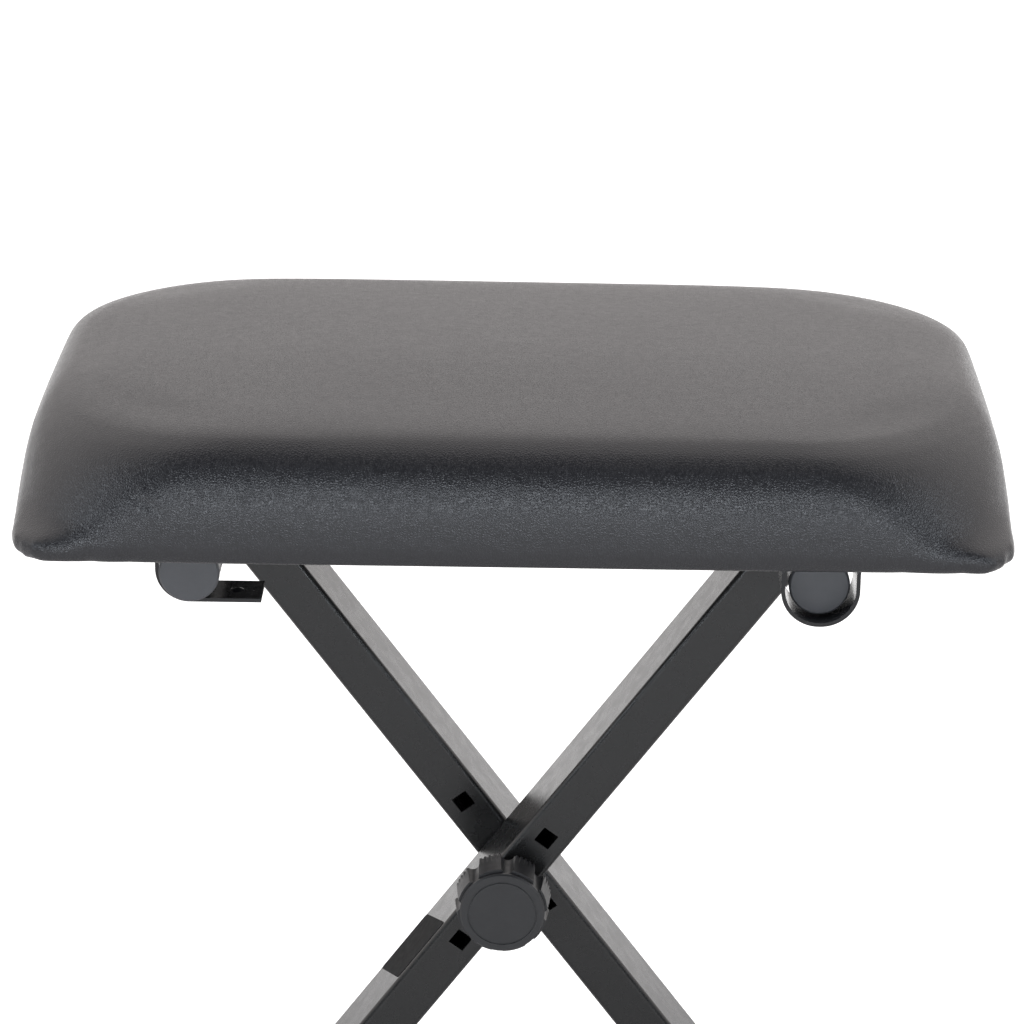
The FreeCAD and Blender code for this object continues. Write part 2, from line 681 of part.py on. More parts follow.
def cushion_form(shrink, bottom):
    # The seat's outer form, drawn in by a thickness all round: tucked below, full at its belly,
    # rounded over a shoulder, lightly crowned, and with corners that open out as they rise.
    belly = size("seat_belly")
    rise = size("seat_height") - size("seat_crown") - belly
    end_shoulder = size("seat_end_shoulder")
    front_shoulder = size("seat_front_shoulder")
    corner = size("seat_corner")
    corner_gain = size("seat_top_corner") - corner
    levels = []
    for step in (0, 0.3, 0.65, 1):
        tuck = size("seat_tuck") * (1 - step) ** 2
        levels.append((belly * step, tuck, tuck, corner))
    for degrees in (10, 20, 30, 40, 50, 60, 70, 80, 90):
        turn = math.radians(degrees)
        inward = 1 - math.cos(turn)
        radius = corner + corner_gain * math.sin(turn) ** size("corner_growth")
        height = belly + rise * math.sin(turn)
        levels.append((height, end_shoulder * inward, front_shoulder * inward, radius))
    for step in (0.1, 0.22, 0.36, 0.52, 0.7, 0.88):
        inward = (size("seat_depth") / 2 - front_shoulder) * step
        lift = belly + rise + size("seat_crown") * (1 - (1 - step) ** 2)
        radius = size("seat_top_corner") * (1 - step)
        levels.append((lift, end_shoulder + inward, front_shoulder + inward, radius))
    squeeze = (size("seat_height") - shrink * 2) / size("seat_height")
    wires = []
    for height, end_inset, front_inset, radius in levels:
        half_x = size("seat_length") / 2 - end_inset - shrink
        half_y = size("seat_depth") / 2 - front_inset - shrink
        wires.append(rounded_wire(half_x, half_y, radius - shrink, bottom + height * squeeze))
    return Part.makeLoft(wires, True, False)


def soft_part(label, shape):
    # A soft piece that is lofted, so its shape is worked out here from the sheet.
    piece = doc.addObject("Part::Feature", label)
    piece.Label = label
    piece.Shape = shape
    piece.Placement = FreeCAD.Placement(Vector(0, 0, number(WRAP_Z)), FreeCAD.Rotation())
    parts.append(piece)


def seat_cover():
    # Leatherette skin over the foam and the board's edge, folded under by the wrap.
    thickness = size("cover_thickness")
    skin = cushion_form(0, 0).cut(cushion_form(thickness, thickness))
    half_x = number(BOARD_X) - size("cover_wrap")
    half_y = number(BOARD_Y) - size("cover_wrap")
    opening = Part.makeBox(2 * half_x, 2 * half_y, 4 * thickness, Vector(-half_x, -half_y, -2 * thickness))
    skin = skin.cut(opening)
    for x, y in screw_spots():
        radius = size("screw_hole") / 2
        hole = Part.makeCylinder(radius, 4 * thickness, Vector(number(x), number(y), -2 * thickness))
        skin = skin.cut(hole)
    soft_part("seat_cover", skin)


def seat_foam():
    # Foam block between the board and the cover.
    thickness = size("cover_thickness")
    board_top = thickness + size("board_thickness")
    inner = cushion_form(thickness + size("soft_gap"), thickness)
    span = size("seat_length")
    above = Part.makeBox(2 * span, 2 * span, span, Vector(-span, -span, board_top))
    soft_part("seat_foam", inner.common(above))


def staple():
    # One staple, its crown level and its legs up.
    body = new_body("one_staple", is_part=False)
    outer = "(staple_crown / 2)"
    inner = "(staple_crown / 2 - staple_wire)"
    corners = [("-" + outer, "-staple_wire"), (outer, "-staple_wire"), (outer, "staple_leg"),
               (inner, "staple_leg"), (inner, "0"), ("-" + inner, "0"), ("-" + inner, "staple_leg"),
               ("-" + outer, "staple_leg")]
    pad(body, outline(body, "XZ_Plane", corners), "staple_wire")
    return body


def staple_spots():
    # Evenly spaced along each edge of the board, clear of its corners.
    long_run = "(" + BOARD_X + " - board_corner)"
    short_run = "(" + BOARD_Y + " - board_corner)"
    long_edge = "(" + BOARD_Y + " - staple_inset)"
    short_edge = "(" + BOARD_X + " - staple_inset)"
    long_count = int(size("staples_long"))
    short_count = int(size("staples_short"))
    spots = []
    for side in (-1, 1):
        for index in range(long_count):
            share = 2 * index / (long_count - 1) - 1
            spots.append((long_run + " * %r" % share, long_edge + " * %d" % side, DUST_Z, 0))
        for index in range(short_count):
            share = 2 * index / (short_count - 1) - 1
            spots.append((short_edge + " * %d" % side, short_run + " * %r" % share, DUST_Z, 90))
    return spots


frame("front", 1, "right", RIGHT_TUBE)
frame("rear", -1, "left", LEFT_TUBE)
pivot_bolt()
washer("pivot_spacer", "spacer_diameter", "spacer_bore", "leg_gap", "-leg_gap / 2")
washer("clamp_washer", "washer_diameter", "washer_bore", "washer_thickness", LEG_FACE)
knob()
for end, way in (("front", -1), ("rear", 1)):
    hinge_strap("hinge_strap_" + end, way)
    hook_strap("hook_strap_" + end, way)
seat_board()
seat_foam()
seat_cover()
dust_cover()
screw_z = DUST_Z + " - strap_thickness"
copies("strap_screws", screw(), [(x, y, screw_z, 0) for x, y in screw_spots()])
nut_z = BOARD_Z + " + board_thickness - nut_fit / 2"
copies("strap_tee_nuts", tee_nut(), [(x, y, nut_z, 0) for x, y in screw_spots()])
copies("cover_staples", staple(), staple_spots())
doc.recompute()

for item in doc.Objects:
    if "Invalid" in item.State or "Error" in item.State:
        raise RuntimeError(item.Name + " has failed")
for part in parts:
    if part.Shape.isNull() or not part.Shape.isValid():
        raise RuntimeError(part.Label + " has no valid shape")

os.makedirs("parts", exist_ok=True)
for part in parts:
    part.Shape.exportStep("parts/" + part.Label + ".step")
    print(part.Label, len(part.Shape.Solids), round(part.Shape.Volume))
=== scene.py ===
import json
import math
import bmesh
import bpy
import numpy as np
from mathutils import Matrix, Vector, noise

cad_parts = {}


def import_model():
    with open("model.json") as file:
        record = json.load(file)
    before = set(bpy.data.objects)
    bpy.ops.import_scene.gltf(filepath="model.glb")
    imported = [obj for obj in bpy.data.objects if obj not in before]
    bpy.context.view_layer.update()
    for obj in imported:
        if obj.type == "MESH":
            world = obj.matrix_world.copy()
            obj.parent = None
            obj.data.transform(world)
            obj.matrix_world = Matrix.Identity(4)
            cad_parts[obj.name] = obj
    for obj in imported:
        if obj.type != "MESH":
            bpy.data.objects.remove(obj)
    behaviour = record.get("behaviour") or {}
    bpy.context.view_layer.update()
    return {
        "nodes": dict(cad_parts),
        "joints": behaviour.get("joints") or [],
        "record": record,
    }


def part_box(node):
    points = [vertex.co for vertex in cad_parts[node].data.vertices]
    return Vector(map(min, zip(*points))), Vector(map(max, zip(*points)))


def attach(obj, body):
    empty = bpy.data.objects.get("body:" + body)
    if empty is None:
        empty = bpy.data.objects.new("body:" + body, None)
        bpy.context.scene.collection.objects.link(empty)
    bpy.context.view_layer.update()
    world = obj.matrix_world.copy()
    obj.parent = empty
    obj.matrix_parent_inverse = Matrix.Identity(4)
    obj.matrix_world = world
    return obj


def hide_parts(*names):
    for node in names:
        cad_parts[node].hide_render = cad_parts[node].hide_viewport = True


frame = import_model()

# Everything is in metres. +X is the hinged end, -Y the front, where the knob is.
MM = 0.001

# Places taken from the frame
seat_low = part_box("seat_cover")[0]
bolt = Vector(next(j["pos_m"] for j in frame["joints"] if j["name"] == "leg_fold"))


# Materials

class Surface:
    """A Principled material with a short way to add and join nodes."""

    def __init__(self, name, **constants):
        self.material = bpy.data.materials.new(name)
        self.material.use_nodes = True
        self.tree = self.material.node_tree
        self.shader = self.tree.nodes["Principled BSDF"]
        self.coords = self.tree.nodes.new("ShaderNodeTexCoord").outputs["Object"]
        for socket, value in constants.items():
            self.shader.inputs[socket.replace("_", " ")].default_value = value

    def add(self, kind, inputs=(), **settings):
        node = self.tree.nodes.new(kind)
        for name, value in settings.items():
            setattr(node, name, value)
        for socket, value in dict(inputs).items():
            if isinstance(value, bpy.types.NodeSocket):
                self.tree.links.new(value, node.inputs[socket])
            else:
                node.inputs[socket].default_value = value
        return node

    def noise(self, scale, detail=3.0, rough=0.5, where=None):
        inputs = {"Vector": where or self.coords, "Scale": scale, "Detail": detail, "Roughness": rough}
        return self.add("ShaderNodeTexNoise", inputs).outputs["Fac"]

    def cells(self, scale, feature="DISTANCE_TO_EDGE", where=None):
        inputs = {"Vector": where or self.coords, "Scale": scale}
        return self.add("ShaderNodeTexVoronoi", inputs, feature=feature).outputs["Distance"]

    def ramp(self, value, low, high, start=0.0, end=1.0):
        inputs = {"Value": value, "From Min": low, "From Max": high, "To Min": start, "To Max": end}
        return self.add("ShaderNodeMapRange", inputs).outputs["Result"]

    def math(self, operation, first, second=0.0):
        return self.add("ShaderNodeMath", {0: first, 1: second}, operation=operation).outputs[0]

    def mix(self, share, first, second):
        node = self.add("ShaderNodeMix", {"Factor": share}, data_type="RGBA")
        for socket, value in ((node.inputs[6], first), (node.inputs[7], second)):
            if isinstance(value, bpy.types.NodeSocket):
                self.tree.links.new(value, socket)
            else:
                socket.default_value = (*value, 1.0)
        return node.outputs[2]

    def bump(self, height, distance, strength=1.0, below=None):
        inputs = {"Height": height, "Distance": distance, "Strength": strength}
        if below is not None:
            inputs["Normal"] = below
        return self.add("ShaderNodeBump", inputs).outputs["Normal"]

    def warp(self, scale, amount):
        # The object's coordinates pushed about by a slow noise, so that cells aren't even.
        inputs = {"Vector": self.coords, "Scale": scale, "Detail": 2.0}
        wobble = self.add("ShaderNodeTexNoise", inputs).outputs["Color"]
        centre = (0.5, 0.5, 0.5)
        kind = "ShaderNodeVectorMath"
        centred = self.add(kind, {0: wobble, 1: centre}, operation="SUBTRACT").outputs[0]
        small = self.add(kind, {0: centred, "Scale": amount}, operation="SCALE").outputs[0]
        return self.add(kind, {0: self.coords, 1: small}, operation="ADD").outputs[0]

    def edge_wear(self, radius, low, high):
        # 1 on worn sharp edges, broken up by noise, and 0 elsewhere.
        bevel = self.add("ShaderNodeBevel", {"Radius": radius}, samples=4).outputs["Normal"]
        flat = self.add("ShaderNodeNewGeometry").outputs["Normal"]
        dot = self.add("ShaderNodeVectorMath", {0: bevel, 1: flat}, operation="DOT_PRODUCT").outputs["Value"]
        edge = self.ramp(dot, 1.0, 0.88)
        return self.math("MULTIPLY", edge, self.ramp(self.noise(160.0, 4.0), low, high))

    def set(self, **links):
        for socket, value in links.items():
            self.tree.links.new(value, self.shader.inputs[socket.replace("_", " ")])
        return self.material


def leatherette():
    # Fine pebbled vinyl: small uneven pebbles with creased valleys, painted darker as painted shade, and
    # faint broad unevenness.
    s = Surface("seat_leatherette", Specular_IOR_Level=0.5)
    where = s.warp(260.0, 0.0011)
    pebble = s.ramp(s.cells(780.0, where=where), 0.02, 0.34)
    fine = s.cells(1500.0, "F1", where)
    slow = s.noise(14.0, 2.0)
    patch = s.noise(70.0, 3.0)
    grain = s.bump(pebble, 0.20 * MM, 0.50)
    grain = s.bump(fine, 0.06 * MM, 0.12, grain)
    grain = s.bump(slow, 1.5 * MM, 0.06, grain)
    tone = s.mix(patch, (0.010, 0.010, 0.012), (0.015, 0.015, 0.018))
    # Painted shade: the valleys between the pebbles are painted darker than the pebbles' tops.
    colour = s.mix(s.ramp(pebble, 0.0, 0.6), (0.006, 0.006, 0.008), tone)
    rough = s.ramp(s.noise(240.0, 3.0), 0.3, 0.7, 0.31, 0.37)
    return s.set(Base_Color=colour, Roughness=rough, Normal=grain)


def powder_coat():
    # Satin black powder coat with orange peel, and paint thinned on the sharp edges.
    s = Surface("frame_powder_coat", Specular_IOR_Level=0.45)
    peel = s.noise(900.0, 2.0)
    speck = s.noise(3200.0, 2.0)
    grain = s.bump(peel, 0.05 * MM, 0.18)
    grain = s.bump(speck, 0.02 * MM, 0.20, grain)
    wear = s.edge_wear(0.5 * MM, 0.60, 0.72)
    tone = s.mix(s.noise(35.0), (0.007, 0.007, 0.007), (0.011, 0.011, 0.011))
    colour = s.mix(wear, tone, (0.10, 0.10, 0.105))
    rough = s.ramp(s.noise(120.0), 0.3, 0.7, 0.24, 0.31)
    return s.set(Base_Color=colour, Roughness=rough, Normal=grain)


def gloss_paint():
    # Dipped gloss black on the straps, slightly uneven, with a few scuffs.
    s = Surface("strap_gloss_paint", Specular_IOR_Level=0.38)
    flow = s.bump(s.noise(160.0, 2.0), 0.15 * MM, 0.35)
    scuff = s.ramp(s.noise(420.0, 5.0, 0.7), 0.60, 0.72)
    colour = s.mix(scuff, (0.008, 0.008, 0.009), (0.030, 0.030, 0.032))
    rough = s.ramp(scuff, 0.0, 1.0, 0.17, 0.36)
    return s.set(Base_Color=colour, Roughness=rough, Normal=flow)


def moulded_plastic(name, dark, light, low, high):
    # Matt moulded plastic with a fine spark-eroded grain and faint flow marks.
    s = Surface(name, Specular_IOR_Level=0.45)
    grain = s.bump(s.noise(2600.0, 3.0, 0.6), 0.10 * MM, 0.40)
    grain = s.bump(s.noise(60.0, 2.0), 0.5 * MM, 0.08, grain)
    wear = s.edge_wear(0.4 * MM, 0.50, 0.70)
    tone = s.mix(s.noise(90.0), dark, light)
    lifted = tuple(min(1.0, 2.2 * c) for c in light)
    colour = s.mix(wear, tone, lifted)
    rough = s.ramp(s.noise(300.0), 0.3, 0.7, low, high)
    return s.set(Base_Color=colour, Roughness=rough, Normal=grain)


def rubber():
    # Dull rubber, dusty where it meets the floor.
    s = Surface("foot_rubber", Specular_IOR_Level=0.35)
    grain = s.bump(s.noise(1800.0, 3.0), 0.12 * MM, 0.45)
    height = s.add("ShaderNodeSeparateXYZ", {"Vector": s.coords}).outputs["Z"]
    dust = s.math("MULTIPLY", s.ramp(height, 0.009, 0.0), s.ramp(s.noise(260.0, 4.0), 0.35, 0.65))
    tone = s.mix(s.noise(80.0), (0.017, 0.017, 0.017), (0.024, 0.024, 0.024))
    colour = s.mix(s.math("MULTIPLY", dust, 0.7), tone, (0.13, 0.125, 0.115))
    rough = s.ramp(s.noise(200.0), 0.3, 0.7, 0.62, 0.78)
    return s.set(Base_Color=colour, Roughness=rough, Normal=grain)


def plated_steel():
    # Bright zinc plate: fine turning lines, blotchy tone.
    s = Surface("zinc_plate", Metallic=1.0)
    grain = s.bump(s.noise(1400.0, 3.0), 0.05 * MM, 0.35)
    colour = s.mix(s.noise(180.0, 4.0), (0.56, 0.57, 0.59), (0.72, 0.73, 0.74))
    rough = s.ramp(s.noise(420.0, 3.0), 0.3, 0.7, 0.24, 0.40)
    return s.set(Base_Color=colour, Roughness=rough, Normal=grain)


def brass():
    s = Surface("turned_brass", Metallic=1.0)
    grain = s.bump(s.noise(1600.0, 2.0), 0.05 * MM, 0.30)
    colour = s.mix(s.noise(220.0, 4.0), (0.62, 0.42, 0.16), (0.78, 0.57, 0.26))
    rough = s.ramp(s.noise(380.0), 0.3, 0.7, 0.25, 0.42)
    return s.set(Base_Color=colour, Roughness=rough, Normal=grain)


def dust_sheet():
    # Non-woven sheet: matted fibres and the small dimples of its heat bonding.
    s = Surface("dust_sheet", Specular_IOR_Level=0.25, Sheen_Weight=0.25, Sheen_Roughness=0.6)
    bond = s.ramp(s.cells(480.0, "F1"), 0.15, 0.45)
    fibre = s.noise(1300.0, 4.0, 0.7)
    grain = s.bump(bond, 0.25 * MM, 0.5)
    grain = s.bump(fibre, 0.12 * MM, 0.5, grain)
    colour = s.mix(s.math("MULTIPLY", bond, fibre), (0.010, 0.010, 0.011), (0.034, 0.034, 0.036))
    rough = s.ramp(fibre, 0.3, 0.7, 0.82, 0.95)
    return s.set(Base_Color=colour, Roughness=rough, Normal=grain)


def plywood():
    s = Surface("board_plywood")
    stretched = s.add("ShaderNodeMapping", {"Vector": s.coords, "Scale": (3.0, 60.0, 60.0)}).outputs["Vector"]
    grain = s.noise(6.0, 6.0, 0.6, stretched)
    colour = s.mix(grain, (0.36, 0.23, 0.12), (0.62, 0.45, 0.27))
    rough = s.ramp(grain, 0.3, 0.7, 0.55, 0.72)
    return s.set(Base_Color=colour, Roughness=rough, Normal=s.bump(grain, 0.2 * MM, 0.4))


def foam():
    s = Surface("seat_foam_block", Specular_IOR_Level=0.2)
    pores = s.cells(900.0)
    colour = s.mix(s.ramp(pores, 0.0, 0.3), (0.55, 0.50, 0.36), (0.80, 0.76, 0.60))
    rough = s.ramp(pores, 0.0, 0.4, 0.95, 0.85)
    return s.set(Base_Color=colour, Roughness=rough, Normal=s.bump(pores, 0.4 * MM, 0.6))


def label_film():
    # Plain matt black film.
    s = Surface("label_film", Specular_IOR_Level=0.12)
    ripple = s.bump(s.noise(90.0, 2.0), 0.2 * MM, 0.15)
    colour = s.mix(s.noise(60.0), (0.010, 0.010, 0.010), (0.016, 0.016, 0.017))
    rough = s.ramp(s.noise(260.0), 0.3, 0.7, 0.75, 0.86)
    return s.set(Base_Color=colour, Roughness=rough, Normal=ripple)


SLOT_MATERIALS = {
    "frame_paint": powder_coat(),
    "strap_paint": gloss_paint(),
    "cap_plastic": moulded_plastic("cap_plastic", (0.050, 0.051, 0.055), (0.064, 0.065, 0.070), 0.50, 0.62),
    "knob_plastic": moulded_plastic("knob_plastic", (0.013, 0.013, 0.014), (0.019, 0.019, 0.020), 0.44, 0.55),
    "foot_rubber": rubber(),
    "zinc_steel": plated_steel(),
    "brass": brass(),
    "seat_leather": leatherette(),
    "foam": foam(),
    "board_wood": plywood(),
    "dust_fabric": dust_sheet(),
}
LABEL = label_film()


def dress_nodes():
    # Each node of the frame gets the finish of its material slot.
    for part in frame["record"]["subparts"]:
        obj = frame["nodes"][part["node"]]
        obj.data.materials.clear()
        obj.data.materials.append(SLOT_MATERIALS[part["material_slot"]])


# Mesh helpers

def new_object(name, vertices, faces, material, smooth=True):
    mesh = bpy.data.meshes.new(name)
    mesh.from_pydata([tuple(v) for v in vertices], [], faces)
    mesh.validate()
    mesh.shade_smooth() if smooth else mesh.shade_flat()
    mesh.materials.append(material)
    obj = bpy.data.objects.new(name, mesh)
    bpy.context.scene.collection.objects.link(obj)
    return obj


def smooth_step(value):
    value = np.clip(value, 0.0, 1.0)
    return value * value * (3.0 - 2.0 * value)


# Seat cushion

# The skin's outline: half sizes at the belly, the pad's shift to +X, its height and its tucked lower edge
SEAT_BOTTOM = seat_low.z
HALF_LENGTH = 249.0 * MM
HALF_DEPTH = 159.5 * MM
SEAT_MIDDLE = 4.0 * MM
SEAT_HEIGHT = 68.5 * MM
BELLY = 9.5 * MM
TUCK = 2.0 * MM

# The shoulders: how far each side leans in on its way up, the top's drop to the front, the power of
# the curve and the crown's height
END_LEAN = 25.0 * MM
FRONT_LEAN = 30.0 * MM
BACK_LEAN = 50.0 * MM
FRONT_DROP = 3.5 * MM
SHOULDER_POWER = 2.3
CROWN = 3.0 * MM

# The corners' radii at the belly and at the top, and how early they open out between
CORNER_LOW = 24.0 * MM
CORNER_TOP = 95.0 * MM
CORNER_GROWTH = 0.40

# How far the sides' middles bow out, with the share of it at the belly, and the top's fall to +X
END_BOW = 1.0 * MM
FRONT_BOW = 1.5 * MM
BASE_BOW = 0.3
TOP_TILT = 1.5 * MM

# Steps of the mesh, the remesh's cell, and the cloth's swell
SIDE_STEPS = 40
CORNER_STEPS = 16
VOXEL = 5.0 * MM
CLOTH_CAP = 1.5 * MM
SWELL_PASSES = 60
DRAWN_IN = 0.6 * MM

# The gathers under the corners, and the pinched lines near the front left corner
PLEAT_CORNER = 40.0 * MM
PLEAT_FADE = 45.0 * MM
PLEAT_COUNT = 9.0
PLEAT_TOP = 13.0 * MM
PLEAT_DEPTH = 1.6 * MM
CREASE_WIDTH = 1.6 * MM
CREASE_DEPTH = 0.9 * MM
CREASES = (
    ((-182 * MM, 6 * MM, 36 * MM), (-160 * MM, 1 * MM, 24 * MM)),
    ((-171 * MM, 9 * MM, 40 * MM), (-176 * MM, 1 * MM, 25 * MM)),
)

# How far the foam lies inside the skin
FOAM_INSET = 4.0 * MM


def ring_points(half_x, half_y, corner):
    # Rounded rectangle, anticlockwise from the +X side, with even steps along sides and corners.
    corner = min(corner, 0.98 * half_x, 0.98 * half_y)
    quarter = np.radians(90.0 * np.arange(CORNER_STEPS) / CORNER_STEPS)
    share = (np.arange(SIDE_STEPS) / SIDE_STEPS)[:, None]
    signs = ((1, 1), (-1, 1), (-1, -1), (1, -1))
    points = []
    for index, (side_x, side_y) in enumerate(signs):
        centre = np.array((side_x * (half_x - corner), side_y * (half_y - corner)))
        turn = quarter + math.radians(90.0 * index)
        points.append(centre + corner * np.stack((np.cos(turn), np.sin(turn)), axis=1))
        end = math.radians(90.0 * (index + 1))
        arm = corner * np.array((math.cos(end), math.sin(end)))
        next_x, next_y = signs[(index + 1) % 4]
        following = np.array((next_x * (half_x - corner), next_y * (half_y - corner)))
        points.append(centre + arm + (following - centre) * share)
    return np.concatenate(points)


def bowed(ring, half_x, half_y, end_bow, front_bow):
    # Pushes the middles of the sides out and leaves the corners where they are.
    along = ring / np.array((half_x, half_y))
    out_x = np.clip((np.abs(along[:, 0]) - 0.6) / 0.4, 0.0, 1.0)
    out_y = np.clip((np.abs(along[:, 1]) - 0.5) / 0.5, 0.0, 1.0)
    shift_x = np.sign(along[:, 0]) * end_bow * (1 - along[:, 1] ** 2) * out_x
    shift_y = np.sign(along[:, 1]) * front_bow * (1 - along[:, 0] ** 2) * out_y
    return ring + np.stack((shift_x, shift_y), axis=1)


def cushion_rings():
    # The skin from the middle of the underside, over the belly and the shoulder, to the crown.
    rings = []

    def ring(half_x, half_y, corner, height, bow, forward=0.0):
        points = ring_points(half_x, half_y, corner)
        points = bowed(points, half_x, half_y, END_BOW * bow, FRONT_BOW * bow)
        points = points - (0.0, forward)
        rings.append(np.column_stack((points, np.full(len(points), height))))

    for share in (0.02, 0.3, 0.6, 0.85):
        ring((HALF_LENGTH - TUCK) * share, (HALF_DEPTH - TUCK) * share, CORNER_LOW * share, 0.0, 0.0)
    for share in (0.0, 0.25, 0.5, 0.75, 1.0):
        inset = TUCK * (1 - share) ** 2
        ring(HALF_LENGTH - inset, HALF_DEPTH - inset, CORNER_LOW, BELLY * share, BASE_BOW * share)
    rise = SEAT_HEIGHT - BELLY - CROWN
    middle_lean = (FRONT_LEAN + BACK_LEAN) / 2
    lean_apart = (BACK_LEAN - FRONT_LEAN) / 2
    for turn in np.radians(np.arange(5.0, 91.0, 5.0)):
        across = max(0.0, math.cos(turn)) ** (2 / SHOULDER_POWER)
        lift = math.sin(turn) ** (2 / SHOULDER_POWER)
        corner = CORNER_LOW + (CORNER_TOP - CORNER_LOW) * lift ** CORNER_GROWTH
        bow = BASE_BOW + (1 - BASE_BOW) * math.sin(math.pi * lift)
        half_x = HALF_LENGTH - END_LEAN * (1 - across)
        half_y = HALF_DEPTH - middle_lean * (1 - across)
        ring(half_x, half_y, corner, BELLY + rise * lift, bow, lean_apart * (1 - across))
    for share in (0.85, 0.65, 0.45, 0.25, 0.02):
        half_x = (HALF_LENGTH - END_LEAN) * share
        half_y = (HALF_DEPTH - middle_lean) * share
        lift = BELLY + rise + CROWN * (1 - share ** 2)
        ring(half_x, half_y, CORNER_TOP * share, lift, BASE_BOW * share, lean_apart)
    return rings


def cushion_mesh(drawn_in):
    # The cushion's skin, drawn in by a thickness.
    rings = cushion_rings()
    points = np.concatenate(rings)
    full = np.array((HALF_LENGTH, HALF_DEPTH, SEAT_HEIGHT))
    points *= (full - drawn_in) / full
    height = points[:, 2]
    points[:, 2] -= TOP_TILT * points[:, 0] / HALF_LENGTH * np.clip(height / SEAT_HEIGHT, 0.0, 1.0)
    forward = smooth_step((-points[:, 1] - 10 * MM) / (0.8 * HALF_DEPTH))
    points[:, 2] -= FRONT_DROP * forward * np.clip(height / SEAT_HEIGHT, 0.0, 1.0)
    points += (SEAT_MIDDLE, 0.0, SEAT_BOTTOM)
    count = len(rings[0])
    faces = []
    for level in range(len(rings) - 1):
        low, high = level * count, (level + 1) * count
        for index in range(count):
            following = (index + 1) % count
            faces.append((low + index, low + following, high + following, high + index))
    last = (len(rings) - 1) * count
    faces.append(tuple(reversed(range(count))))
    faces.append(tuple(range(last, last + count)))
    return points, faces


def apply_modifiers(obj):
    depsgraph = bpy.context.evaluated_depsgraph_get()
    mesh = bpy.data.meshes.new_from_object(obj.evaluated_get(depsgraph))
    old = obj.data
    obj.modifiers.clear()
    obj.data = mesh
    bpy.data.meshes.remove(old)


def coordinates(mesh):
    flat = np.empty(len(mesh.vertices) * 3)
    mesh.vertices.foreach_get("co", flat)
    return flat.reshape(-1, 3)


def even_out(obj):
    # Even square faces in place of the long ones, with the steps they bring smoothed away.
    remesh = obj.modifiers.new("even", "REMESH")
    remesh.mode = "VOXEL"
    remesh.voxel_size = VOXEL
    soften = obj.modifiers.new("soften", "SMOOTH")
    soften.factor = 0.5
    soften.iterations = 2
    apply_modifiers(obj)


def averaged(mesh, values, passes):
    # Each vertex's step mixed with those of its neighbours, several times over.
    def summed(takers, givers, axis):
        return np.bincount(takers, values[givers, axis], len(values))

    ends = np.empty(len(mesh.edges) * 2, dtype=np.int64)
    mesh.edges.foreach_get("vertices", ends)
    first, second = ends.reshape(-1, 2).T
    count = np.bincount(ends, minlength=len(values))[:, None]
    for _ in range(passes):
        sums = [summed(first, second, axis) + summed(second, first, axis) for axis in range(3)]
        total = np.stack(sums, axis=1)
        values = 0.5 * values + 0.5 * total / count
    return values


def puff(obj):
    # Blows the pad up a little under its skin, so that the cover lies as stretched sheet does.
    start = coordinates(obj.data)
    pinned = obj.vertex_groups.new(name="pinned")
    held = np.nonzero(start[:, 2] < SEAT_BOTTOM + 0.7 * BELLY)[0]
    pinned.add([int(i) for i in held], 1.0, "REPLACE")
    cloth = obj.modifiers.new("cloth", "CLOTH")
    cloth.settings.use_pressure = True
    cloth.settings.uniform_pressure_force = 4.0
    cloth.settings.effector_weights.gravity = 0.0
    cloth.settings.tension_stiffness = 25.0
    cloth.settings.bending_stiffness = 2.0
    cloth.settings.vertex_group_mass = "pinned"
    scene = bpy.context.scene
    for number in range(1, 21):
        scene.frame_set(number)
    depsgraph = bpy.context.evaluated_depsgraph_get()
    moved = coordinates(obj.evaluated_get(depsgraph).data)
    obj.modifiers.clear()
    scene.frame_set(1)
    step = averaged(obj.data, moved - start, SWELL_PASSES)
    reach = np.linalg.norm(step, axis=1, keepdims=True)
    step *= np.minimum(1.0, CLOTH_CAP / np.maximum(reach, 1e-9))
    obj.data.vertices.foreach_set("co", (start + step).ravel())
    obj.data.update()


def corner_pleats(points):
    # The cover is gathered where it turns under at the corners: short upright folds, dying out above.
    around = points - (SEAT_MIDDLE, 0.0, SEAT_BOTTOM)
    centre = np.array((HALF_LENGTH, HALF_DEPTH)) - PLEAT_CORNER
    offset = np.abs(around[:, :2]) - centre
    near = smooth_step((np.minimum(offset[:, 0], offset[:, 1]) + PLEAT_FADE) / PLEAT_FADE)
    turn = np.arctan2(offset[:, 1] + PLEAT_CORNER, offset[:, 0] + PLEAT_CORNER)
    corner = (around[:, 0] > 0) * 2.0 + (around[:, 1] > 0)
    phase = turn * PLEAT_COUNT + 1.7 * corner + 0.9 * np.sin(5.0 * turn + corner)
    height = around[:, 2]
    fade = smooth_step((PLEAT_TOP - height) / PLEAT_TOP) * smooth_step((height + 2 * MM) / (3 * MM))
    outward = np.column_stack((np.sign(around[:, :2]) * np.stack((np.cos(turn), np.sin(turn)), axis=1),
                               np.zeros(len(points))))
    fold = PLEAT_DEPTH * (np.abs(np.sin(phase)) ** 0.7 - 0.6) * near * fade
    return points + outward * fold[:, None]


def crease(points, start, end):
    # A shallow pinched line in the skin between two points, soft at its ends. Both points are given
    # by their place along the seat, behind the pad's front and above its bottom.
    start = np.array(start) + (0.0, -HALF_DEPTH, SEAT_BOTTOM)
    end = np.array(end) + (0.0, -HALF_DEPTH, SEAT_BOTTOM)
    along = end - start
    length = np.linalg.norm(along)
    along = along / length
    offset = points - start
    run = offset @ along
    off = np.linalg.norm(offset - run[:, None] * along, axis=1)
    fade = smooth_step(run / (0.35 * length)) * smooth_step((length - run) / (0.35 * length))
    valley = np.exp(-(off / CREASE_WIDTH) ** 2)
    ridge = 0.45 * np.exp(-((off - 2 * CREASE_WIDTH) / CREASE_WIDTH) ** 2)
    dent = CREASE_DEPTH * fade * (valley - ridge)
    inward = np.array((0.0, 0.7, -0.7))
    return points + inward * dent[:, None]


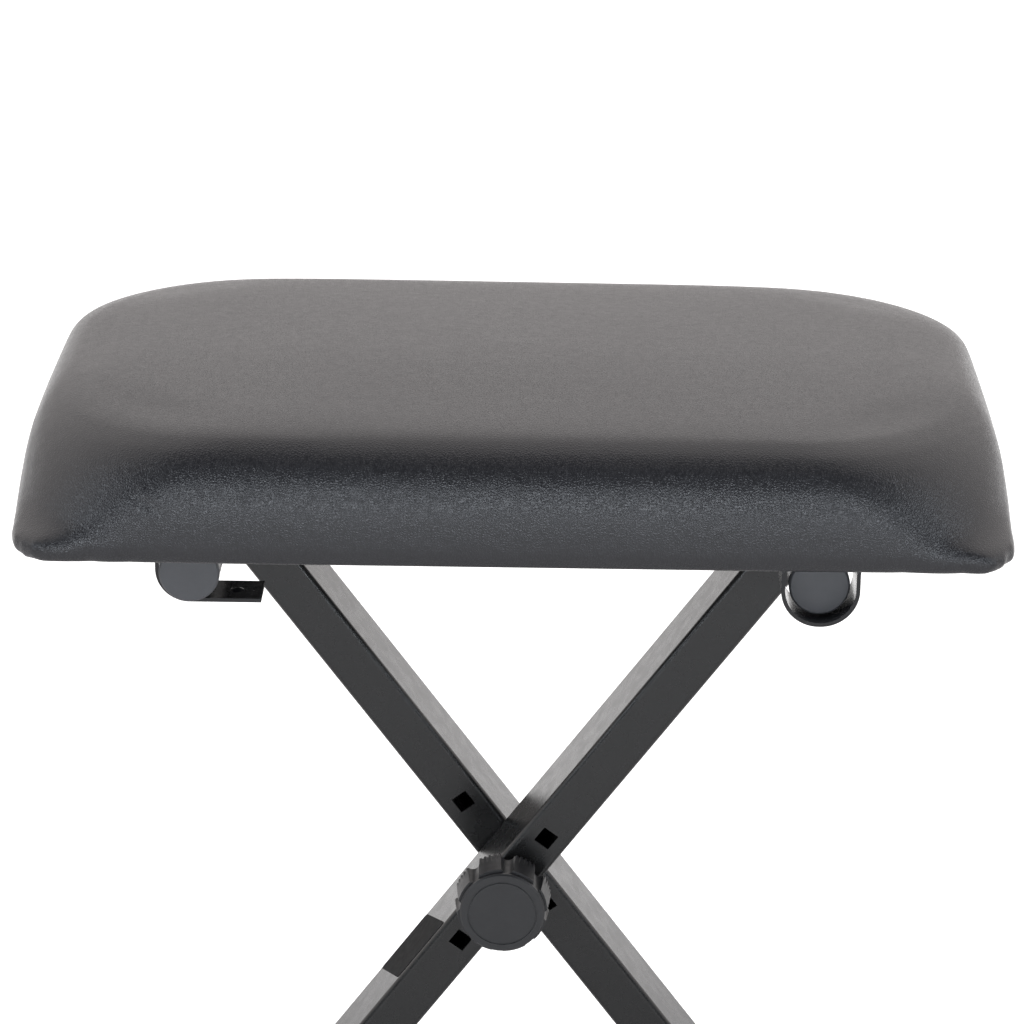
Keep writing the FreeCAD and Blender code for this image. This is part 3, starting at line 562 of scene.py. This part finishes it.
def subdivide(obj):
    modifier = obj.modifiers.new("finer", "SUBSURF")
    modifier.levels = 1
    modifier.render_levels = 1
    apply_modifiers(obj)


def foam_block():
    # The foam under the cover, down to the board's top.
    points, faces = cushion_mesh(FOAM_INSET)
    block = new_object("foam_block", points, faces, SLOT_MATERIALS["foam"])
    even_out(block)
    form = bmesh.new()
    form.from_mesh(block.data)
    whole = form.verts[:] + form.edges[:] + form.faces[:]
    board_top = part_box("seat_board")[1].z
    cut = bmesh.ops.bisect_plane(form, geom=whole, plane_co=(0, 0, board_top), plane_no=(0, 0, 1),
                                 clear_inner=True)
    edges = [item for item in cut["geom_cut"] if isinstance(item, bmesh.types.BMEdge)]
    bmesh.ops.holes_fill(form, edges=edges)
    form.to_mesh(block.data)
    form.free()
    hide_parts("seat_foam")
    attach(block, "seat")


def seat_pad():
    points, faces = cushion_mesh(DRAWN_IN)
    pad = new_object("seat_pad", points, faces, SLOT_MATERIALS["seat_leather"])
    even_out(pad)
    puff(pad)
    subdivide(pad)
    skin = corner_pleats(coordinates(pad.data))
    for start, end in CREASES:
        skin = crease(skin, start, end)
    pad.data.vertices.foreach_set("co", skin.ravel())
    pad.data.update()
    pad.data.shade_smooth()
    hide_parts("seat_cover")
    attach(pad, "seat")


# Details of the frame

# The legs' section, the gap between them and their slope, and the radii of cross tubes and beads
LEG_WIDTH = 25.0 * MM
LEG_DEPTH = 45.0 * MM
LEG_GAP = 0.8 * MM
LEG_TURN = math.radians(53.3)
TUBE_RADIUS = 15.0 * MM
BEAD_RADIUS = 1.5 * MM

# The label: its distance below the bolt, its size, its thickness above the leg and the slant of its ends
LABEL_PLACE = 66.0 * MM
LABEL_LENGTH = 42.0 * MM
LABEL_WIDTH = 39.0 * MM
LABEL_LIFT = 0.15 * MM
LABEL_SKEW = 9.0 * MM


def tube_loop(half_width, half_depth, corner, count):
    # Rounded rectangle round the leg's section, as points and their outward ways.
    loop = []
    for index in range(count):
        turn = 2 * math.pi * index / count
        way = Vector((math.cos(turn), math.sin(turn)))
        reach = 1 / max(abs(way.x) / half_width, abs(way.y) / half_depth)
        spot = way * reach
        limit_x, limit_y = half_width - corner, half_depth - corner
        inner = Vector((max(-limit_x, min(limit_x, spot.x)), max(-limit_y, min(limit_y, spot.y))))
        out = (spot - inner).normalized()
        loop.append((inner + out * corner, out))
    return loop


def weld_bead(name, body, tube_centre, leg_way, middle_y):
    # Rippled fillet where the leg's end is coped against the round tube.
    count, around = 144, 7
    across = Vector((-leg_way.z, 0.0, leg_way.x))
    vertices = []
    for index, (spot, out) in enumerate(tube_loop(LEG_WIDTH / 2, LEG_DEPTH / 2, 3.0 * MM, count)):
        drop = math.sqrt(max(TUBE_RADIUS ** 2 - spot.x ** 2, 0.0))
        base = tube_centre + across * spot.x + leg_way * drop + Vector((0.0, middle_y + spot.y, 0.0))
        outward = across * out.x + Vector((0.0, out.y, 0.0))
        ripple = 1.0 + 0.16 * math.sin(index * 2 * math.pi / 3.2) + 0.10 * noise.noise(base * 400.0)
        swell = BEAD_RADIUS * ripple
        for step in range(around):
            turn = 2 * math.pi * step / around
            vertices.append(base + outward * math.cos(turn) * swell + leg_way * math.sin(turn) * swell * 0.9)
    faces = []
    for index in range(count):
        for step in range(around):
            following, beside = (index + 1) % count, (step + 1) % around
            faces.append((index * around + step, index * around + beside,
                          following * around + beside, following * around + step))
    bead = new_object(name, vertices, faces, SLOT_MATERIALS["frame_paint"])
    subdivide(bead)
    bead.data.shade_smooth()
    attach(bead, body)


def weld_beads():
    # Both ends of both legs.
    for body, side, upper, lower in (("front_frame", 1, "right_top_tube", "front_foot_tube"),
                                     ("rear_frame", -1, "left_top_tube", "rear_foot_tube")):
        middle_y = -side * (LEG_DEPTH + LEG_GAP) / 2
        rise = Vector((side * math.cos(LEG_TURN), 0.0, math.sin(LEG_TURN)))
        for node, way, end in ((upper, -rise, "top"), (lower, rise, "foot")):
            low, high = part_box(node)
            weld_bead("weld_" + body + "_" + end, body, (low + high) / 2, way, middle_y)


def blank_label():
    # Plain black film on the upper side of the front leg, below the bolt. It carries no lettering.
    rise = Vector((math.cos(LEG_TURN), 0.0, math.sin(LEG_TURN)))
    upward = Vector((-rise.z, 0.0, rise.x))
    middle = bolt - rise * LABEL_PLACE + upward * (LEG_WIDTH / 2 + LABEL_LIFT)
    middle.y = -(LEG_DEPTH + LEG_GAP) / 2
    half_length, half_width, corner = LABEL_LENGTH / 2, LABEL_WIDTH / 2, 2.0 * MM
    outline = []
    for sign_x, sign_y, start in ((1, 1, 0), (-1, 1, 90), (-1, -1, 180), (1, -1, 270)):
        for degrees in range(0, 91, 15):
            turn = math.radians(start + degrees)
            outline.append((sign_x * (half_length - corner) + corner * math.cos(turn),
                            sign_y * (half_width - corner) + corner * math.sin(turn)))
    vertices = []
    for height, shrink in ((-LABEL_LIFT, 0.0), (LABEL_LIFT * 0.4, 0.0), (LABEL_LIFT, 0.15 * MM)):
        for x, y in outline:
            squeeze = 1 - shrink / half_width
            run = x * squeeze - LABEL_SKEW * y / half_width
            vertices.append(middle + rise * run + Vector((0.0, y * squeeze, 0.0)) + upward * height)
    count = len(outline)
    faces = [tuple(range(2 * count, 3 * count)), tuple(reversed(range(count)))]
    for level in (0, 1):
        for index in range(count):
            following = (index + 1) % count
            faces.append((level * count + index, level * count + following,
                          (level + 1) * count + following, (level + 1) * count + index))
    label = new_object("blank_label", vertices, faces, LABEL, smooth=False)
    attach(label, "front_frame")


# Stage, light and camera

# Strengths of the light, where 1 is white, and how far forward the wall fades out
BACK_GLOW = 0.95
CAMERA_GLOW = 0.62
WALL_LIGHT = 1.45
ROOM_LIGHT = 0.12
WALL_EDGE = (-0.38, 0.05)
WALL_FOOT = 0.62
WALL_TINT = (1.0, 0.955, 0.94, 1.0)
ROOM_TINT = (0.94, 0.97, 1.0, 1.0)
LAMP_TINT = (0.87, 0.93, 1.0)


class Shading:
    """A bare node tree of a floor or a world, with a short way to add joined nodes."""

    def __init__(self, owner):
        owner.use_nodes = True
        self.tree = owner.node_tree
        self.tree.nodes.clear()

    def add(self, kind, inputs=(), output=0, **settings):
        node = self.tree.nodes.new(kind)
        for name, value in settings.items():
            setattr(node, name, value)
        for socket, value in dict(inputs).items():
            if isinstance(value, bpy.types.NodeSocket):
                self.tree.links.new(value, node.inputs[socket])
            else:
                node.inputs[socket].default_value = value
        return node.outputs[output] if len(node.outputs) else node

    def step(self, value, low, high):
        inputs = {"Value": value, "From Min": low, "From Max": high}
        return self.add("ShaderNodeMapRange", inputs, interpolation_type="SMOOTHSTEP")

    def math(self, operation, *values):
        return self.add("ShaderNodeMath", dict(enumerate(values)), operation=operation)


def stage():
    # White floor. Its own glow lifts it to white for the camera, and behind the bench in mirrored light.
    material = bpy.data.materials.new("stage_floor")
    shading = Shading(material)
    where = shading.add("ShaderNodeTexCoord", output="Object")
    behind = shading.step(shading.add("ShaderNodeSeparateXYZ", {"Vector": where}, "Y"), 0.2, 1.4)
    mirrored = shading.math("MULTIPLY", behind, BACK_GLOW)
    mirrored = shading.math("MULTIPLY", mirrored, shading.add("ShaderNodeLightPath", output="Is Glossy Ray"))
    seen = shading.math("MULTIPLY", shading.add("ShaderNodeLightPath", output="Is Camera Ray"), CAMERA_GLOW)
    glow = shading.add("ShaderNodeEmission", {"Strength": shading.math("ADD", mirrored, seen)})
    diffuse = shading.add("ShaderNodeBsdfDiffuse", {"Color": (0.80, 0.80, 0.80, 1.0)})
    both = shading.add("ShaderNodeAddShader", {0: diffuse, 1: glow})
    shading.add("ShaderNodeOutputMaterial", {"Surface": both})
    reach = 12.0
    corners = [(-reach, -reach, 0), (reach, -reach, 0), (reach, reach, 0), (-reach, reach, 0)]
    new_object("floor", corners, [(0, 1, 2, 3)], material)


def world():
    # White to the camera. As light: a bright wall behind, curving over the bench, and a dim room in front.
    sky = bpy.data.worlds.new("studio")
    bpy.context.scene.world = sky
    shading = Shading(sky)
    way = shading.add("ShaderNodeTexCoord", output="Generated")
    behind = shading.step(shading.add("ShaderNodeSeparateXYZ", {"Vector": way}, "Y"), *WALL_EDGE)
    height = shading.add("ShaderNodeSeparateXYZ", {"Vector": way}, "Z")
    foot = shading.math("MULTIPLY_ADD", shading.step(height, 0.05, 0.42), 1.0 - WALL_FOOT, WALL_FOOT)
    level = shading.math("MULTIPLY_ADD", shading.math("MULTIPLY", behind, foot), WALL_LIGHT, ROOM_LIGHT)
    seen = shading.add("ShaderNodeLightPath", output="Is Camera Ray")
    strength = shading.add("ShaderNodeMix", {"Factor": seen, 2: level, 3: 1.0}, data_type="FLOAT")
    tint = shading.add("ShaderNodeMix", {"Factor": behind, 6: ROOM_TINT, 7: WALL_TINT}, 2, data_type="RGBA")
    colour = shading.add("ShaderNodeMix", {"Factor": seen, 6: tint, 7: (1.0, 1.0, 1.0, 1.0)}, 2,
                         data_type="RGBA")
    light = shading.add("ShaderNodeBackground", {"Color": colour, "Strength": strength})
    shading.add("ShaderNodeOutputWorld", {"Surface": light})


def softbox(name, place, target, width, depth, power):
    lamp = bpy.data.lights.new(name, "AREA")
    lamp.shape = "RECTANGLE"
    lamp.size = width
    lamp.size_y = depth
    lamp.energy = power
    lamp.color = LAMP_TINT
    obj = bpy.data.objects.new(name, lamp)
    obj.location = place
    obj.rotation_euler = (Vector(target) - Vector(place)).to_track_quat("-Z", "Y").to_euler()
    bpy.context.scene.collection.objects.link(obj)


def lights():
    middle = (0.0, 0.0, 0.40)
    softbox("front_softbox", (0.0, -2.60, 0.85), middle, 3.4, 0.30, 44.0)
    softbox("left_softbox", (-1.9, -1.1, 1.3), middle, 0.7, 0.9, 11.0)
    softbox("right_softbox", (1.9, -1.1, 1.3), middle, 0.7, 0.9, 11.0)


# The photograph's view: the camera's turn and height about a point under the seat, its roll and its reach
CAMERA_AZIMUTH = math.radians(0.73)
CAMERA_HEIGHT = math.radians(20.0)
CAMERA_ROLL = math.radians(0.53)
CAMERA_REACH = 1.960
CAMERA_TARGET = bolt + Vector((2.3 * MM, 0.0, 199.0 * MM))
FOCAL_PIXELS = 3702.0
FRAME_PIXELS = 1024.0


def camera():
    data = bpy.data.cameras.new("camera")
    data.sensor_width = 36.0
    data.lens = FOCAL_PIXELS / FRAME_PIXELS * data.sensor_width
    data.clip_end = 50.0
    flat = math.cos(CAMERA_HEIGHT)
    aside, ahead = math.sin(CAMERA_AZIMUTH) * flat, math.cos(CAMERA_AZIMUTH) * flat
    back = Vector((aside, -ahead, math.sin(CAMERA_HEIGHT)))
    right = (-back).cross(Vector((0, 0, 1))).normalized()
    up = right.cross(-back)
    rolled_right = right * math.cos(CAMERA_ROLL) + up * math.sin(CAMERA_ROLL)
    rolled_up = up * math.cos(CAMERA_ROLL) - right * math.sin(CAMERA_ROLL)
    turn = Matrix((rolled_right, rolled_up, back)).transposed()
    obj = bpy.data.objects.new("camera", data)
    obj.matrix_world = Matrix.Translation(CAMERA_TARGET + back * CAMERA_REACH) @ turn.to_4x4()
    bpy.context.scene.collection.objects.link(obj)
    bpy.context.scene.camera = obj


camera()
world()
lights()
stage()
dress_nodes()
seat_pad()
foam_block()
weld_beads()
blank_label()
bpy.context.scene.view_settings.view_transform = "Standard"
